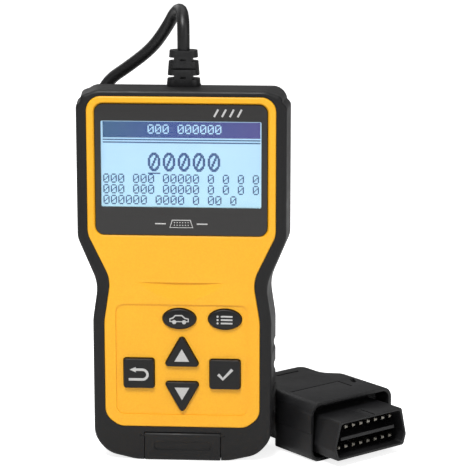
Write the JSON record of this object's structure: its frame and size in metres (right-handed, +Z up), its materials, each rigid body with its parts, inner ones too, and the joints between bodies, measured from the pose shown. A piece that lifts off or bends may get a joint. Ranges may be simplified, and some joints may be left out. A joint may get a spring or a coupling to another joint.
{
  "type": "obd code reader",
  "caption": "Hand-held vehicle diagnostic code reader with a dot-matrix display, keypad, fixed lead and diagnostic plug.",
  "frame": {"origin": "on the ground under the middle of the upright case", "axes": "+X to the right of the screen, -Y out of the screen, +Z up the case"},
  "size_m": [0.1346, 0.1203, 0.1842],
  "materials": {
    "yellow_plastic": "satin moulded",
    "black_grip": "soft matte",
    "black_shell": "fine texture",
    "window_black": "gloss",
    "clear": "clear",
    "display_cell": "lit",
    "light_guide": "satin",
    "foam": "foam",
    "steel": "plated",
    "key_black": "satin moulded",
    "silicone": "silicone",
    "board_green": "solder mask",
    "chip_black": "moulded",
    "can_silver": "drawn",
    "connector_white": "moulded nylon",
    "wire": "insulation",
    "label_film": "printed film",
    "cable_black": "PVC jacket",
    "strap": "woven hook and loop",
    "plug_black": "fine texture",
    "contact_metal": "plated"
  },
  "bodies": {
    "case": {"front_shell": "yellow_plastic", "grip_frame": "black_grip", "back_shell": "black_shell", "case_screws": "steel", "rating_label": "label_film", "display_window": "window_black", "window_pane": "clear", "lcd_gasket": "foam", "lcd_glass": "display_cell", "lcd_backlight": "light_guide", "lcd_bezel": "steel", "keypad_sheet": "silicone", "dome_switches": "steel", "main_board": "board_green", "board_screws": "steel", "processor_chip": "chip_black", "support_chips": "chip_black", "capacitors": "can_silver", "crystal": "can_silver", "buzzer": "chip_black", "usb_socket": "steel", "strain_relief": "cable_black", "cable_tail": "cable_black", "cable_clamp": "connector_white", "clamp_screws": "steel", "header_socket": "connector_white", "header_plug": "connector_white", "cable_wires": "wire", "cable_upper": "cable_black", "cable_lower": "cable_black", "cable_coil": "cable_black", "cable_tie": "strap", "plug_shroud": "plug_black", "plug_insulator": "chip_black", "contact_pins": "contact_metal", "plug_cover": "plug_black", "plug_base": "plug_black", "plug_screws": "steel", "plug_boot": "cable_black", "plug_wires": "wire"},
    "key_vehicle": {"key_vehicle": "key_black"},
    "key_codes": {"key_codes": "key_black"},
    "key_up": {"key_up": "key_black"},
    "key_down": {"key_down": "key_black"},
    "key_back": {"key_back": "key_black"},
    "key_enter": {"key_enter": "key_black"},
    "usb_flap": {"usb_flap": "black_grip"}
  },
  "joints": [
    {"name": "key_vehicle_press", "type": "slide", "parent": "case", "child": "key_vehicle", "axis": [0, 1, 0], "range_m": [0, 0.0009], "stiffness_N_per_m": 600, "springref_m": -0.0004},
    {"name": "key_codes_press", "type": "slide", "parent": "case", "child": "key_codes", "axis": [0, 1, 0], "range_m": [0, 0.0009], "stiffness_N_per_m": 600, "springref_m": -0.0004},
    {"name": "key_up_press", "type": "slide", "parent": "case", "child": "key_up", "axis": [0, 1, 0], "range_m": [0, 0.0009], "stiffness_N_per_m": 600, "springref_m": -0.0004},
    {"name": "key_down_press", "type": "slide", "parent": "case", "child": "key_down", "axis": [0, 1, 0], "range_m": [0, 0.0009], "stiffness_N_per_m": 600, "springref_m": -0.0004},
    {"name": "key_back_press", "type": "slide", "parent": "case", "child": "key_back", "axis": [0, 1, 0], "range_m": [0, 0.0009], "stiffness_N_per_m": 600, "springref_m": -0.0004},
    {"name": "key_enter_press", "type": "slide", "parent": "case", "child": "key_enter", "axis": [0, 1, 0], "range_m": [0, 0.0009], "stiffness_N_per_m": 600, "springref_m": -0.0004},
    {"name": "usb_flap_hinge", "type": "hinge", "parent": "case", "child": "usb_flap", "pos_m": [0, -0.013, 0.0106], "axis": [-1, 0, 0], "range_deg": [0, 90]}
  ]
}
